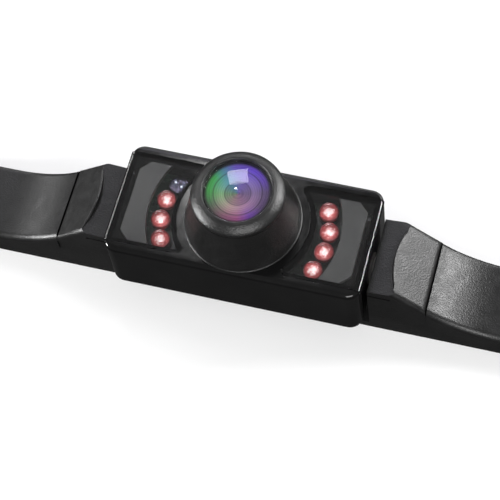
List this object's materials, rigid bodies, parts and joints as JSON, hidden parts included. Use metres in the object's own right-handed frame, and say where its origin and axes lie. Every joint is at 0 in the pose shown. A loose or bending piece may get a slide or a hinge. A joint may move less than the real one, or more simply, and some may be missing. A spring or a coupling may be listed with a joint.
{
  "type": "licence plate bar rear-view camera",
  "caption": "Wide-angle rear-view camera with infrared lamps behind clear windows, tilting between the shoulders of a slim licence plate bar.",
  "frame": {"origin": "middle of the bar's mounting face", "axes": "+X along the bar to the right as seen from in front of the lens with +Y up, +Y up on the vehicle, +Z the way the lens looks"},
  "size_m": [0.2, 0.031, 0.0439],
  "materials": {
    "satin_black": "fine-grained satin",
    "gloss_black": "semi-gloss",
    "hood_black": "satin",
    "clear_plastic": "clear",
    "lens_glass": "coated",
    "mask_grey": "satin",
    "circuit_board": "solder mask",
    "chip_black": "moulded",
    "lamp_clear": "clear resin",
    "sensor_face": "glossy",
    "black_rubber": "moulded",
    "barrel_black": "anodised matt",
    "zinc_steel": "zinc plated",
    "nylon_white": "natural nylon"
  },
  "bodies": {
    "bar": {"base_bar": "satin_black", "left_friction_washer": "zinc_steel", "left_hinge_bush": "nylon_white", "left_shoulder_cap": "satin_black", "left_wing_cover": "satin_black", "right_friction_washer": "zinc_steel", "right_hinge_bush": "nylon_white", "right_shoulder_cap": "satin_black", "right_wing_cover": "satin_black", "shoulder_cap_screws": "zinc_steel", "wing_cover_screws": "zinc_steel"},
    "camera_head": {"aperture_stop": "barrel_black", "board_screws": "zinc_steel", "case_screws": "zinc_steel", "case_seal": "black_rubber", "cord_connector": "nylon_white", "cord_gland": "black_rubber", "front_case": "gloss_black", "front_lens": "lens_glass", "image_sensor": "chip_black", "left_hinge_pin": "zinc_steel", "left_infrared_lamps": "lamp_clear", "left_lamp_board": "circuit_board", "left_lamp_mask": "mask_grey", "left_window": "clear_plastic", "lens_barrel": "barrel_black", "lens_bezel": "hood_black", "lens_holder": "chip_black", "lens_hood": "hood_black", "lens_seal": "black_rubber", "light_sensor": "sensor_face", "main_board": "circuit_board", "rear_cover": "gloss_black", "rear_lens": "lens_glass", "right_hinge_pin": "zinc_steel", "right_infrared_lamps": "lamp_clear", "right_lamp_board": "circuit_board", "right_lamp_mask": "mask_grey", "right_window": "clear_plastic", "second_lens": "lens_glass", "signal_processor": "chip_black", "third_lens": "lens_glass", "voltage_regulator": "chip_black"}
  },
  "joints": [
    {"name": "head_tilt", "type": "hinge", "parent": "bar", "child": "camera_head", "pos_m": [0, 0, 0.014], "axis": [1, 0, 0], "range_deg": [-20, 20]}
  ]
}
